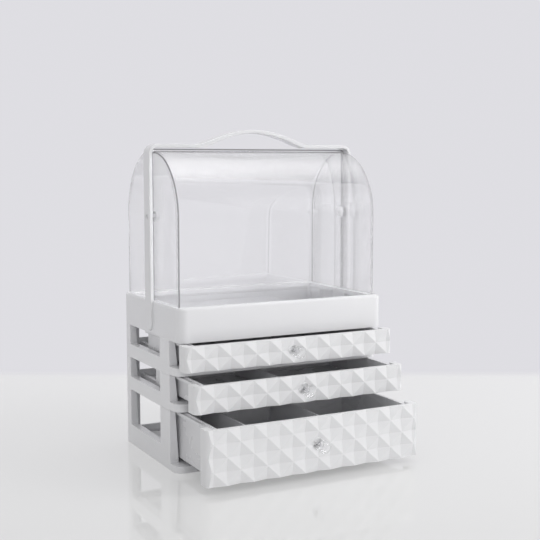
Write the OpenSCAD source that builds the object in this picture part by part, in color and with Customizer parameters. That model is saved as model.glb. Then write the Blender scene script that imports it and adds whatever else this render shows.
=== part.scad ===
// Dustproof makeup organizer: three stacked drawer tiers, an open tray on top under two
// swinging clear covers, and a carry handle that arches over them.
// Origin: middle of the tray, on the surface that the base stands on. +X right, +Y back, +Z up.

/* [Body] */
// Width of the tiers and of the top tray
body_w = 275; // [230:1:330]
// Depth of the top tray
tray_d = 180; // [150:1:230]
// How far the tray overhangs the tiers at the front
tray_overhang = 10; // [4:1:20]
// Radius of the upright corners at the front
corner_r = 12; // [6:1:20]
// Radius of the upright corners at the back
back_corner_r = 8; // [4:1:14]

/* [Drawer tiers] */
// Height of the base of the lowest tier, over its rim and ribs
base_h = 8; // [6:0.5:14]
// Height of the front band of each upper floor
band_h = 9.5; // [7:0.5:14]
// Clear height of the lowest drawer bay
lower_bay_h = 64; // [45:1:90]
// Clear height of the middle drawer bay
middle_bay_h = 32.5; // [26:0.5:60]
// Clear height of the upper drawer bay
upper_bay_h = 30.5; // [26:0.5:60]
// How far the side walls of a tier hang below its front band
seam_drop = 1.5; // [0.5:0.25:3]
// Side wall thickness at the foot of a tier
wall_foot = 11.5; // [9:0.5:14]
// Side wall thickness at the top of a tier
wall_top = 7; // [6:0.5:8.5]
// How far the posts stand back from the front edge of the floors
post_setback = 20; // [17:1:30]
// Depth of each front post
front_post_d = 30; // [20:1:45]
// Depth of each rear post
rear_post_d = 20; // [14:1:35]
// Height of the solid rail below each side window
rail_h = 17; // [13:0.5:22]
// Height of the rail of the lowest tier, with its base
base_rail_h = 25; // [20:0.5:32]
// Thickness of the floor skins
floor_t = 2.5; // [2:0.25:4]
// Height of the lip across the back of each floor
back_lip_h = 10; // [6:1:14]
// Height of the runners that the drawers slide on
runner_h = 4.5; // [3:0.5:6]
// Width of the runners
runner_w = 4; // [3:0.5:8]
// How far the runners stand in from the sides of the drawer boxes
runner_inset = 12; // [6:1:30]
// Radius of the pegs that hold the stacked tiers in line
peg_r = 2; // [1.5:0.25:2.5]
// Height of those pegs
peg_h = 2.4; // [1.5:0.1:2.6]

/* [Top tray] */
// Height of the tray
tray_h = 40.5; // [30:0.5:60]
// Thickness of the tray walls
tray_wall = 3; // [2.5:0.25:5]
// Thickness of the tray floor
tray_floor_t = 3.5; // [2.5:0.25:5]
// Radius that rounds the rim outwards
rim_round = 4; // [2:0.5:6]
// Width of the rim shoulder at the front and back
shoulder_d = 16; // [13:0.5:22]
// Width of the rim shoulder at the sides
shoulder_w = 10.5; // [8:0.5:14]
// Thickness of the rim shoulder
shoulder_t = 6.5; // [5:0.5:10]
// Depth of the step in the rim that the covers stand on
rim_step = 1.5; // [1:0.25:2.5]

/* [Covers and handle] */
// Height of the cover pivots above the surface
pivot_z = 294.5; // [270:0.5:340]
// How far the rear cover stands in from the front and back of the tray
cover_inset = 9.5; // [7:0.5:14]
// Thickness of both clear covers
cover_t = 2; // [1.5:0.25:2.5]
// Radius of the rounded edges of the covers
cover_edge_r = 5; // [3:0.5:20]
// Radius of the ears that hold the pivot pins
ear_r = 8; // [6:0.5:10]
// Width of the handle band, front to back
band_w = 19; // [14:0.5:24]
// Thickness of the handle band
band_t = 4.2; // [3.8:0.1:7]
// Outer width of the handle beyond the tray on each side
handle_proud = 2.5; // [1:0.25:4]
// Radius of the upper corners of the handle
handle_corner_r = 12; // [8:0.5:16]
// Half width of the raised carry grip
grip_half_w = 76; // [55:1:95]
// Height of the raised carry grip above the bar
grip_rise = 18; // [10:0.5:24]
// How far the handle's legs stand above the foot of the tray
leg_gap = 3; // [2:0.5:10]
// Radius of the pivot pins
pin_r = 2.5; // [2:0.25:3.5]
// Radius of the domed pin heads
pin_head_r = 7; // [5:0.5:8]
// Height of the domed pin heads
pin_head_h = 6; // [3:0.5:8]

/* [Drawers] */
// How far the upper drawer stands open at rest
upper_pull = 31; // [0:1:80]
// How far the middle drawer stands open at rest
middle_pull = 56; // [0:1:80]
// How far the lower drawer stands open at rest
lower_pull = 88; // [0:1:100]
// Length of the drawer boxes, front to back
box_d = 144; // [110:1:146]
// Thickness of the box walls and floor
box_wall = 2.25; // [2:0.25:3.5]
// Height of the rim round the top of a drawer box, above its flanges
box_rim_h = 1.2; // [0.8:0.1:1.5]
// Thickness of the flanges along both sides of a drawer box
flange_t = 4; // [2:0.5:5]
// How far the flanges lie below the top edge of the drawer front
flange_drop = 1.8; // [1.5:0.1:4]
// Thickness of the upright dividers
divider_t = 1.8; // [1.5:0.1:3]
// Place of the divider in the middle drawer, left or right of its middle
middle_divider_x = -18; // [-60:1:60]
// Place of the left divider in the lower drawer
lower_divider_left_x = -80; // [-100:1:-40]
// Place of the right divider in the lower drawer
lower_divider_right_x = 16; // [-20:1:80]

/* [Drawer fronts] */
// Thickness of the front panels
front_t = 7; // [6:0.5:10]
// Depth of the returns at both ends of a front
return_d = 18.5; // [14:0.5:19]
// How far a front stands out beyond the tiers on each side
front_proud = 1; // [0:0.25:2]
// Radius of the upright corners of a front
front_r = 7; // [4:0.5:10]
// Number of diamonds across a front
diamonds = 8; // [4:2:14]
// Depth of the diamonds
diamond_depth = 3; // [2:0.2:5]
// Plain border at each end of the row of diamonds
end_border = 7.7; // [4:0.1:12]

/* [Knobs] */
// Radius of the knob head
knob_r = 8; // [6:0.5:11]
// Length of the knob
knob_l = 20; // [14:0.5:24]
// Radius of the knob's base disc
knob_base_r = 6.5; // [4.5:0.25:8]
// Number of facets round the knob
knob_facets = 10; // [6:1:12]
// Radius of the screw threads, taken as plain shafts
screw_r = 1.9; // [1.5:0.1:2.5]
// Radius of the screw heads
screw_head_r = 3.6; // [3:0.1:5]
// Thickness of the screw heads
screw_head_h = 2.2; // [1.5:0.1:3]
// How far a knob screw reaches into its knob
screw_grip = 6; // [4:0.5:12]

/* [Clearances] */
// Gap between a drawer box and the foot of the side walls
box_side_gap = 1.25; // [1:0.25:6]
// Gap between a drawer's flanges and the top of the side walls
flange_gap = 1.5; // [1:0.25:3]
// Gap above and below a drawer front in its bay
front_gap = 0.4; // [0.3:0.1:1]
// Gap between a drawer box and its runners
runner_gap = 0.3; // [0.2:0.05:0.5]
// Gap between the two nested covers at their rounded faces
nest_gap = 0.8; // [0.6:0.1:1.2]
// Side gap between the two nested covers, and between a cover and the posts
side_gap = 0.4; // [0.3:0.05:0.6]
// Gap between the top of the rear cover and the handle bar
bar_gap = 1.2; // [1:0.1:2]
// Gap between the covers' lower edges and the step they stand on
seat_gap = 0.3; // [0.2:0.05:0.5]
// Free space round the covers inside the rim step
swing_gap = 3; // [2.5:0.25:4]
// Radial running clearance of the pivot pins
pin_clear = 0.05; // [0.02:0.01:0.1]
// Radial clearance of pegs and screws in their holes
hole_clear = 0.15; // [0.1:0.05:0.3]
// Gap round small parts that sit in pockets and slots
fit_gap = 0.2; // [0.1:0.05:0.4]

/* [Hidden] */

$fn = 48;
eps = 0.01;
overlap = 1;
far = 1000;
cover_fn = 96;
corner_steps = 6;
rim_angles = [30, 60, 90];

// Levels, from the surface up
middle_band_z = base_h + lower_bay_h;
middle_top = middle_band_z + band_h;
upper_band_z = middle_top + middle_bay_h;
upper_top = upper_band_z + band_h;
tray_z = upper_top + upper_bay_h;
tray_top = tray_z + tray_h;

// Plan of the tiers and the tray
half_w = body_w / 2;
back_y = tray_d / 2;
tray_front_y = -tray_d / 2;
floor_front_y = tray_front_y + tray_overhang;
post_y = floor_front_y + post_setback;
window_front_y = post_y + front_post_d;
window_back_y = back_y - rear_post_d;
return_w = wall_foot + 7;
lip_t = 3;
skirt_t = 5;
rib_t = 2;
rib_count = 3;
box_half_w = half_w - wall_foot - box_side_gap;
flange_half_w = half_w - wall_top - flange_gap;
runner_x = box_half_w - runner_inset;
front_peg_y = post_y + front_post_d / 2;
rear_peg_y = back_y - rear_post_d / 2;
peg_x = half_w - wall_top / 2;

// Covers and handle
rear_cover_r = tray_d / 2 - cover_inset;
front_cover_r = rear_cover_r - cover_t - nest_gap;
cover_foot_z = tray_top - rim_step + seat_gap;
skirt_h = pivot_z - cover_foot_z;
handle_half_w = half_w + handle_proud;
post_inner_x = handle_half_w - band_t;
rear_cover_half_w = post_inner_x - side_gap;
front_cover_half_w = rear_cover_half_w - cover_t - side_gap;
bar_z = pivot_z + rear_cover_r + bar_gap;
bar_top = bar_z + band_t;
grip_inset = 4;
grip_fullness = 1.35;
grip_steps = 20;
leg_foot_z = tray_z + leg_gap;
corner_gap = 1.5;
inner_corner_r = cover_edge_r + corner_gap;
handle_skin = 1.2;
pin_head_x = front_cover_half_w - cover_t - side_gap;
pin_recess = 1;
shoulder_z = tray_top - shoulder_t;
socket_x = post_inner_x - fit_gap;
socket_pad_w = 7.8;
socket_pad_edge = 4.5;
handle_screw_x = socket_x - socket_pad_w;
handle_screw_z = tray_z + tray_h / 2;
handle_hole_end_x = handle_half_w - handle_skin;

// Drawers, each placed where it is when fully closed
closed_front_y = floor_front_y;
box_front_y = closed_front_y + front_t;
box_back_y = box_front_y + box_d;
box_lift = runner_h + runner_gap;
tip_gap = 1.2;
locating_peg_x = 90;
guide_t = 1.5;
guide_d = 3;
knob_land_edge = 1;
knob_seat = 1;
return_gap = 1;
knob_foot_l = 0.12 * knob_l;
knob_waist = [0.62 * knob_base_r, 0.32 * knob_l];
knob_girdle = [knob_r, 0.68 * knob_l];
knob_bevel = [0.92 * knob_r, 0.84 * knob_l];
knob_table_r = 0.62 * knob_r;

// ---------- shared shapes ----------

// Rounded plan of a floor, front corners and back corners with their own radii
module plan(front_y, inset = 0) {
    w = half_w - inset;
    f = front_y + inset;
    b = back_y - inset;
    fr = max(corner_r - inset, 1);
    br = max(back_corner_r - inset, 1);
    translate([-w + fr, f + fr]) circle(fr);
    translate([w - fr, f + fr]) circle(fr);
    translate([-w + br, b - br]) circle(br);
    translate([w - br, b - br]) circle(br);
    translate([-w + fr, f]) square([2 * (w - fr), fr + eps]);
    translate([-w + br, b - br - eps]) square([2 * (w - br), br + eps]);
    translate([-w, f + fr]) square([2 * w, b - br - f - fr]);
}

// One side wall in section, thicker at its foot, from z0 to z1
module side_section(z0, z1) {
    polygon([
        [half_w + eps, z0], [half_w + eps, z1],
        [half_w - wall_top, z1], [half_w - wall_foot, z0]
    ]);
}

// A length of side wall from y0 to y1, on the right
module side_wall(z0, z1, y0, y1) {
    translate([0, y1, 0]) rotate([90, 0, 0]) linear_extrude(y1 - y0) side_section(z0, z1);
}

// Whatever is drawn on the right, and the same on the left
module both_sides() {
    children();
    mirror([1, 0, 0]) children();
}

// Rear corner return, which closes the back a little behind each rear post
module corner_return(z0, z1) {
    translate([half_w - return_w, back_y - lip_t, z0])
        cube([return_w, lip_t, z1 - z0]);
}

// Pegs or their sockets at the four posts, standing up from height z
module tier_pegs(z, r, h) {
    for (x = [-peg_x, peg_x], y = [front_peg_y, rear_peg_y])
        translate([x, y, z]) cylinder(h = h, r = r);
}

// A tier: floor with its band, side walls with a window each, back lip and runners
module tier(foot_z, band_z, floor_z, top_z, low_rail) {
    rail_top = foot_z + low_rail;
    difference() {
        union() {
            difference() {
                translate([0, 0, band_z]) linear_extrude(floor_z - band_z) plan(floor_front_y);
                translate([0, 0, band_z - eps])
                    linear_extrude(floor_z - band_z - floor_t + eps)
                        plan(floor_front_y, skirt_t);
            }
            floor_ribs(band_z, floor_z - floor_t);
            intersection() {
                translate([0, 0, foot_z]) linear_extrude(top_z - foot_z) plan(floor_front_y);
                both_sides() {
                    difference() {
                        side_wall(foot_z, top_z, post_y, back_y + eps);
                        translate([0, window_front_y, rail_top])
                            cube([far, window_back_y - window_front_y, far]);
                    }
                    corner_return(floor_z - eps, top_z);
                }
            }
            translate([-half_w + return_w - eps, back_y - lip_t, floor_z - eps])
                cube([2 * (half_w - return_w + eps), lip_t, back_lip_h]);
            both_sides()
                translate([runner_x, post_y, floor_z - eps])
                    cube([runner_w, back_y - lip_t - post_y, runner_h + eps]);
            tier_pegs(top_z - eps, peg_r, peg_h + eps);
        }
        if (foot_z > 0)
            tier_pegs(foot_z - eps, peg_r + hole_clear, peg_h + fit_gap + eps);
    }
}

// Stiffening ribs under a floor: one from front to back, the others across it
module floor_ribs(z0, z1) {
    inner_front_y = floor_front_y + skirt_t;
    inner_back_y = back_y - skirt_t;
    pitch = (inner_back_y - inner_front_y) / (rib_count + 1);
    translate([-rib_t / 2, inner_front_y - eps, z0])
        cube([rib_t, inner_back_y - inner_front_y + 2 * eps, z1 - z0 + eps]);
    for (i = [1 : rib_count])
        translate([-half_w + skirt_t, inner_front_y + i * pitch - rib_t / 2, z0])
            cube([2 * (half_w - skirt_t), rib_t, z1 - z0 + eps]);
}

// ---------- tiers and tray ----------

module base_tier() {
    color("whitesmoke") tier(0, 0, base_h, middle_band_z - seam_drop, base_rail_h);
}

module middle_tier() {
    color("whitesmoke")
        tier(middle_band_z - seam_drop, middle_band_z, middle_top,
             upper_band_z - seam_drop, rail_h);
}

module upper_tier() {
    color("whitesmoke")
        tier(upper_band_z - seam_drop, upper_band_z, upper_top, tray_z, rail_h);
}

// Outside of the tray, with its rim rounded outwards
module tray_outside() {
    hull() {
        translate([0, 0, tray_z]) linear_extrude(tray_h - rim_round) plan(tray_front_y);
        for (a = rim_angles)
            translate([0, 0, tray_top - rim_round])
                linear_extrude(rim_round * sin(a)) plan(tray_front_y, rim_round * (1 - cos(a)));
    }
}

// Pocket in the side of the tray that takes one leg of the handle
module leg_pocket() {
    translate([socket_x, 0, leg_foot_z + band_w / 2]) {
        rotate([0, 90, 0]) cylinder(h = far, r = band_w / 2 + fit_gap);
        translate([0, -band_w / 2 - fit_gap, 0]) cube([far, band_w + 2 * fit_gap, far]);
    }
}

module top_tray() {
    well_x = half_w - shoulder_w;
    well_y = back_y - shoulder_d;
    step_x = rear_cover_half_w + side_gap;
    step_y = rear_cover_r + swing_gap;
    socket_pad_d = band_w + 2 * socket_pad_edge;
    color("white") difference() {
        union() {
            difference() {
                tray_outside();
                translate([0, 0, tray_z + tray_floor_t])
                    linear_extrude(shoulder_z - tray_z - tray_floor_t)
                        plan(tray_front_y, tray_wall);
            }
            both_sides()
                translate([handle_screw_x, -socket_pad_d / 2, tray_z])
                    cube([socket_pad_w + fit_gap, socket_pad_d, shoulder_z - tray_z + eps]);
        }
        translate([-well_x, -well_y, shoulder_z - overlap]) cube([2 * well_x, 2 * well_y, far]);
        translate([-step_x, -step_y, tray_top - rim_step]) cube([2 * step_x, 2 * step_y, far]);
        both_sides() {
            leg_pocket();
            translate([0, 0, handle_screw_z]) rotate([0, 90, 0])
                cylinder(h = far, r = screw_r + hole_clear);
        }
        tier_pegs(tray_z - eps, peg_r + hole_clear, peg_h + fit_gap + eps);
    }
}

// ---------- handle ----------

// Rise of the carry grip at a place between its middle and its end
function rise(x, half, top) = top * pow(max(1 - pow(x / half, 2), 0), grip_fullness);

// A quarter turn of points round a corner, from angle a to angle b
function corner(x, z, r, a, b) =
    [for (i = [0 : corner_steps]) let (t = a + (b - a) * i / corner_steps)
        [x + r * cos(t), z + r * sin(t)]];

// The top edge of the bar from left to right, with the grip's curve in it
function bar_edge(z, half, top) =
    [for (i = [-grip_steps : grip_steps]) let (x = half * i / grip_steps) [x, z + rise(x, half, top)]];

function reversed(list) = [for (i = [len(list) - 1 : -1 : 0]) list[i]];

// The handle seen from the front
module handle_outline() {
    outer_x = handle_half_w - handle_corner_r;
    inner_x = post_inner_x - inner_corner_r;
    polygon(concat(
        [[-handle_half_w, leg_foot_z]],
        corner(-outer_x, bar_top - handle_corner_r, handle_corner_r, 180, 90),
        bar_edge(bar_top, grip_half_w, grip_rise),
        corner(outer_x, bar_top - handle_corner_r, handle_corner_r, 90, 0),
        [[handle_half_w, leg_foot_z], [post_inner_x, leg_foot_z]],
        corner(inner_x, bar_z - inner_corner_r, inner_corner_r, 0, 90),
        reversed(bar_edge(bar_z, grip_half_w - grip_inset, grip_rise)),
        corner(-inner_x, bar_z - inner_corner_r, inner_corner_r, 90, 180),
        [[-post_inner_x, leg_foot_z]]
    ));
}

module handle_arch() {
    color("white") difference() {
        intersection() {
            translate([0, band_w / 2, 0]) rotate([90, 0, 0])
                linear_extrude(band_w) handle_outline();
            union() {
                translate([-far, -far, leg_foot_z + band_w / 2]) cube(2 * far);
                translate([-far, 0, leg_foot_z + band_w / 2]) rotate([0, 90, 0])
                    cylinder(h = 2 * far, r = band_w / 2);
            }
        }
        translate([-far, 0, pivot_z]) rotate([0, 90, 0]) cylinder(h = 2 * far, r = pin_r + pin_clear);
        both_sides()
            translate([post_inner_x - overlap, 0, handle_screw_z]) rotate([0, 90, 0])
                cylinder(h = handle_hole_end_x - post_inner_x + overlap, r = screw_r + pin_clear);
    }
}

// A pan-head screw along +X, its head's seat at x = 0
module screw(grip) {
    rotate([0, 90, 0]) {
        cylinder(h = grip, r = screw_r);
        translate([0, 0, -screw_head_h]) cylinder(h = screw_head_h, r = screw_head_r);
    }
}

module handle_screws() {
    color("silver") both_sides() translate([handle_screw_x, 0, handle_screw_z])
        screw(handle_hole_end_x - tip_gap - handle_screw_x);
}

// A pivot pin with a domed head inside the covers, on the right
module pivot_pin() {
    dome_r = (pin_head_r * pin_head_r + pin_head_h * pin_head_h) / (2 * pin_head_h);
    translate([pin_head_x, 0, pivot_z]) {
        rotate([0, 90, 0]) cylinder(h = handle_half_w - pin_recess - pin_head_x, r = pin_r);
        intersection() {
            translate([dome_r - pin_head_h, 0, 0]) sphere(dome_r);
            translate([-pin_head_h, 0, 0]) rotate([0, 90, 0])
                cylinder(h = pin_head_h, r = pin_head_r);
        }
    }
}

module left_pivot_pin() {
    color("white") mirror([1, 0, 0]) pivot_pin();
}

module right_pivot_pin() {
    color("white") pivot_pin();
}

// ---------- covers ----------

// Half of a rounded channel in section: distance from the pivot along x, width along y
module channel(r, half) {
    difference() {
        channel_outside(r, half, cover_edge_r);
        translate([-eps, 0])
            channel_outside(r - cover_t + eps, half - cover_t, cover_edge_r - cover_t);
    }
}

module channel_outside(r, half, edge) {
    translate([0, -half + edge]) square([r, 2 * (half - edge)]);
    translate([0, -half]) square([r - edge, 2 * half]);
    for (y = [-half + edge, half - edge])
        translate([r - edge, y]) circle(edge);
}

// A cover that reaches forwards from its pivots: a quarter drum over an upright skirt
module cover(r, half) {
    translate([0, 0, pivot_z]) difference() {
        union() {
            rotate([90, 0, -90]) rotate_extrude(angle = 90, $fn = cover_fn) channel(r, half);
            translate([0, 0, -skirt_h]) rotate([0, 0, -90])
                linear_extrude(skirt_h) channel(r, half);
            both_sides() translate([half - cover_t, 0, 0]) rotate([0, 90, 0])
                cylinder(h = cover_t, r = ear_r);
        }
        translate([-far, 0, 0]) rotate([0, 90, 0]) cylinder(h = 2 * far, r = pin_r + pin_clear);
    }
}

module front_cover() {
    color("aliceblue", 0.3) cover(front_cover_r, front_cover_half_w);
}

module rear_cover() {
    color("aliceblue", 0.3) mirror([0, 1, 0]) cover(rear_cover_r, rear_cover_half_w);
}

// ---------- drawers ----------

// A drawer box when closed, in the bay between floor_z and floor_z + bay_h
module drawer_box(floor_z, bay_h, dividers) {
    z0 = floor_z + box_lift;
    z1 = floor_z + bay_h - front_gap - flange_drop;
    inner_w = box_half_w - box_wall;
    difference() {
        union() {
            translate([-box_half_w, box_front_y, z0])
                cube([2 * box_half_w, box_d, z1 + box_rim_h - z0]);
            translate([-flange_half_w, box_front_y, z1 - flange_t])
                cube([2 * flange_half_w, box_d, flange_t]);
        }
        difference() {
            translate([-inner_w, box_front_y + box_wall, z0 + box_wall])
                cube([2 * inner_w, box_d - 2 * box_wall, far]);
            for (x = dividers) divider_guides(x, z0, z1);
        }
        translate([0, box_front_y - eps, floor_z + bay_h / 2]) front_holes();
    }
}

// Ribs on the front and back walls that a divider slides down between
module divider_guides(x, z0, z1) {
    slot = divider_t / 2 + fit_gap;
    for (side = [-1, 1], y = [box_front_y + box_wall, box_back_y - box_wall - guide_d])
        translate([x + side * (slot + guide_t / 2) - guide_t / 2, y, z0])
            cube([guide_t, guide_d, z1 - flange_t - z0]);
}

// Holes through the front wall of a box: the knob screw and two locating pegs
module front_holes() {
    for (x = [-locating_peg_x, 0, locating_peg_x])
        translate([x, 0, 0]) rotate([-90, 0, 0])
            cylinder(h = box_wall + 2 * eps, r = screw_r + hole_clear);
}

// A divider when its drawer is closed
module divider(x, floor_z, bay_h) {
    z0 = floor_z + box_lift + box_wall + fit_gap;
    z1 = floor_z + bay_h - front_gap - flange_drop - flange_t;
    y0 = box_front_y + box_wall + fit_gap;
    translate([x - divider_t / 2, y0, z0])
        cube([divider_t, box_d - 2 * box_wall - 2 * fit_gap, z1 - z0]);
}

// Depth of the relief at a crossing of its grid: ridges and hollows take turns
function relief_y(r, c) = (r + c) % 2 == 0 ? diamond_depth : 0;

// A block whose front is cut into diamonds, `rows` of them from its foot to its top
module diamond_block(face_h, rows) {
    w = (half_w + front_proud - end_border) / diamonds;
    h = face_h / (2 * rows);
    last = diamonds + 1;
    wide = 2 * last + 1;
    tall = 2 * rows + 1;
    count = wide * tall;
    cells = [for (r = [0 : tall - 2], c = [0 : wide - 2]) r * wide + c];
    relief = [for (r = [-rows : rows], c = [-last : last]) [c * w, relief_y(r, c), r * h]];
    back = [for (p = relief) [p[0], return_d + overlap, p[2]]];
    facets = [
        for (i = cells)
            each relief[i][1] == 0
                ? [[i, i + wide + 1, i + 1], [i, i + wide, i + wide + 1]]
                : [[i, i + wide, i + 1], [i + 1, i + wide, i + wide + 1]]
    ];
    polyhedron(
        points = concat(relief, back),
        faces = concat(
            facets,
            [for (i = cells) [for (k = [i, i + 1, i + wide + 1, i + wide]) count + k]],
            [for (i = [0 : wide - 2]) [i, i + 1, count + i + 1, count + i]],
            [for (i = [count - wide : count - 2]) [i + 1, i, count + i, count + i + 1]],
            [for (i = [0 : wide : count - 2 * wide]) [i + wide, i, count + i, count + i + wide]],
            [for (i = [wide - 1 : wide : count - wide - 1])
                [i, i + wide, count + i + wide, count + i]]
        )
    );
}

// A drawer front when closed, with its returns, relief, knob land and pegs
module drawer_front(floor_z, bay_h, rows) {
    face_h = bay_h - 2 * front_gap;
    translate([0, closed_front_y, floor_z + bay_h / 2]) difference() {
        union() {
            intersection() {
                diamond_block(face_h, rows);
                translate([0, 0, -face_h]) linear_extrude(2 * face_h)
                    front_plan(half_w + front_proud);
            }
            translate([0, knob_seat, 0]) rotate([-90, 0, 0])
                cylinder(h = front_t - knob_seat - overlap, r = knob_base_r + knob_land_edge);
            for (x = [-locating_peg_x, locating_peg_x])
                translate([x, front_t - overlap, 0]) rotate([-90, 0, 0])
                    cylinder(h = box_wall + overlap, r = screw_r);
        }
        translate([0, -overlap, 0]) rotate([-90, 0, 0])
            cylinder(h = front_t + 2 * overlap, r = screw_r + hole_clear);
    }
}

// Plan of a front: a thin panel with a deeper return at each end
module front_plan(half) {
    pocket_x = flange_half_w + return_gap;
    difference() {
        union() {
            for (x = [-half + front_r, half - front_r])
                translate([x, front_r]) circle(front_r);
            translate([-half + front_r, -overlap])
                square([2 * (half - front_r), front_r + overlap]);
            translate([-half, front_r]) square([2 * half, return_d - front_r]);
        }
        translate([-pocket_x, front_t]) square([2 * pocket_x, far]);
    }
}

// A clear faceted knob: base disc, waist and cut head, along -Y from its seat
module knob(floor_z, bay_h) {
    neck_z = knob_foot_l / 2;
    translate([0, closed_front_y + knob_seat, floor_z + bay_h / 2]) rotate([90, 0, 0])
        difference() {
            union() {
                cylinder(h = knob_foot_l, r = knob_base_r);
                rotate_extrude($fn = knob_facets) polygon([
                    [0, neck_z], [knob_waist[0], neck_z], knob_waist, knob_girdle,
                    knob_bevel, [knob_table_r, knob_l], [0, knob_l]
                ]);
            }
            translate([0, 0, -eps])
                cylinder(h = screw_grip + tip_gap + eps, r = screw_r + pin_clear);
        }
}

// The screw that holds knob, front and box together, its head inside the box
module knob_screw(floor_z, bay_h) {
    translate([0, box_front_y + box_wall, floor_z + bay_h / 2]) rotate([0, 0, -90])
        screw(box_wall + front_t - knob_seat + screw_grip);
}

module upper_drawer() {
    translate([0, -upper_pull, 0]) children();
}

module middle_drawer() {
    translate([0, -middle_pull, 0]) children();
}

module lower_drawer() {
    translate([0, -lower_pull, 0]) children();
}

module upper_drawer_box() {
    color("white") upper_drawer() drawer_box(upper_top, upper_bay_h, []);
}

module upper_drawer_front() {
    color("white") upper_drawer() drawer_front(upper_top, upper_bay_h, 1);
}

module upper_knob() {
    color("lightcyan", 0.6) upper_drawer() knob(upper_top, upper_bay_h);
}

module upper_knob_screw() {
    color("silver") upper_drawer() knob_screw(upper_top, upper_bay_h);
}

module middle_drawer_box() {
    color("white") middle_drawer()
        drawer_box(middle_top, middle_bay_h, [middle_divider_x]);
}

module middle_drawer_front() {
    color("white") middle_drawer() drawer_front(middle_top, middle_bay_h, 1);
}

module middle_knob() {
    color("lightcyan", 0.6) middle_drawer() knob(middle_top, middle_bay_h);
}

module middle_knob_screw() {
    color("silver") middle_drawer() knob_screw(middle_top, middle_bay_h);
}

module middle_drawer_divider() {
    color("lightgray") middle_drawer() divider(middle_divider_x, middle_top, middle_bay_h);
}

module lower_drawer_box() {
    color("white") lower_drawer()
        drawer_box(base_h, lower_bay_h, [lower_divider_left_x, lower_divider_right_x]);
}

module lower_drawer_front() {
    color("white") lower_drawer() drawer_front(base_h, lower_bay_h, 2);
}

module lower_knob() {
    color("lightcyan", 0.6) lower_drawer() knob(base_h, lower_bay_h);
}

module lower_knob_screw() {
    color("silver") lower_drawer() knob_screw(base_h, lower_bay_h);
}

module lower_drawer_dividers() {
    color("lightgray") lower_drawer() {
        divider(lower_divider_left_x, base_h, lower_bay_h);
        divider(lower_divider_right_x, base_h, lower_bay_h);
    }
}

base_tier();
middle_tier();
upper_tier();
top_tray();
handle_arch();
handle_screws();
left_pivot_pin();
right_pivot_pin();
front_cover();
rear_cover();
upper_drawer_box();
upper_drawer_front();
upper_knob();
upper_knob_screw();
middle_drawer_box();
middle_drawer_front();
middle_knob();
middle_knob_screw();
middle_drawer_divider();
lower_drawer_box();
lower_drawer_front();
lower_knob();
lower_knob_screw();
lower_drawer_dividers();
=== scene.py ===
"""Dustproof makeup organizer: its looks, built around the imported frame.

Lengths are in metres, in the frame's own axes: +X right, +Y back, +Z up, origin in the
middle of the footprint. Every sub-assembly is a class that builds and dresses its pieces.
"""

from __future__ import annotations

import logging
import math
from dataclasses import dataclass, field
from enum import Enum
from typing import Iterable, Protocol, Sequence

import bmesh
import bpy
from mathutils import Matrix, Vector

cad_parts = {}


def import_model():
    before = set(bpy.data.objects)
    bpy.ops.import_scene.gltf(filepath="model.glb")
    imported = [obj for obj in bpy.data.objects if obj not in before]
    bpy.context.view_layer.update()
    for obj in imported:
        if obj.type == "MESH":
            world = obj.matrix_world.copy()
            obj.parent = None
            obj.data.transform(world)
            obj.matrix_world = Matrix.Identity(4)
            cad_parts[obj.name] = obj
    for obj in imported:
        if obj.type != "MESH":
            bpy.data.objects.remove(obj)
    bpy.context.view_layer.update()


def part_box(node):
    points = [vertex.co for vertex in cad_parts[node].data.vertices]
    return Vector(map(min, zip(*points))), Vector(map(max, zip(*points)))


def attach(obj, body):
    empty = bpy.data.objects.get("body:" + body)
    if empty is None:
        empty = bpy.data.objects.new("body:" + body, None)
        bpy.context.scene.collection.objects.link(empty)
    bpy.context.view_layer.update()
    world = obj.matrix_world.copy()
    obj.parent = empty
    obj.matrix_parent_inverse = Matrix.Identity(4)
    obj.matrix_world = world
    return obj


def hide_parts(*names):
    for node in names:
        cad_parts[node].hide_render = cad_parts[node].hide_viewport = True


LOG = logging.getLogger("organizer")
MERGE_DISTANCE = 1e-6
FLAT_WITHIN_DEGREES = 0.5
PIVOT_HEIGHT = 0.2945


class Body(Enum):
    """The moving bodies of the frame."""

    STAND = "stand"
    FRONT_COVER = "front_cover"
    REAR_COVER = "rear_cover"
    UPPER_DRAWER = "upper_drawer"
    MIDDLE_DRAWER = "middle_drawer"
    LOWER_DRAWER = "lower_drawer"


class Slot(Enum):
    """The material slots that pieces take their finish from."""

    SHELL = "white_shell"
    DRAWER = "white_drawer"
    FRONT = "white_front"
    COVER = "clear_cover"
    KNOB = "clear_knob"
    DIVIDER = "divider_plastic"
    SCREW = "screw_steel"


class Axis(Enum):
    """Directions that a turned piece points along."""

    RIGHT = Vector((1, 0, 0))
    LEFT = Vector((-1, 0, 0))
    FRONT = Vector((0, -1, 0))


# ---------- shader helpers and node groups ----------


def add_node(tree: bpy.types.NodeTree, kind: str, **values: object) -> bpy.types.Node:
    """Adds a shader node and sets its properties or input values.

    Args:
        tree: The node tree to add to.
        kind: The node's type name without its "ShaderNode" or "Node" prefix.
        **values: Properties by name, or input values by name with "_" for a space.

    Returns:
        The new node.
    """
    prefix = "" if kind.startswith("NodeGroup") else "ShaderNode"
    node = tree.nodes.new(prefix + kind)
    for name, value in values.items():
        if hasattr(node, name):
            setattr(node, name, value)
        else:
            node.inputs[name.replace("_", " ")].default_value = value
    return node


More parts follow.
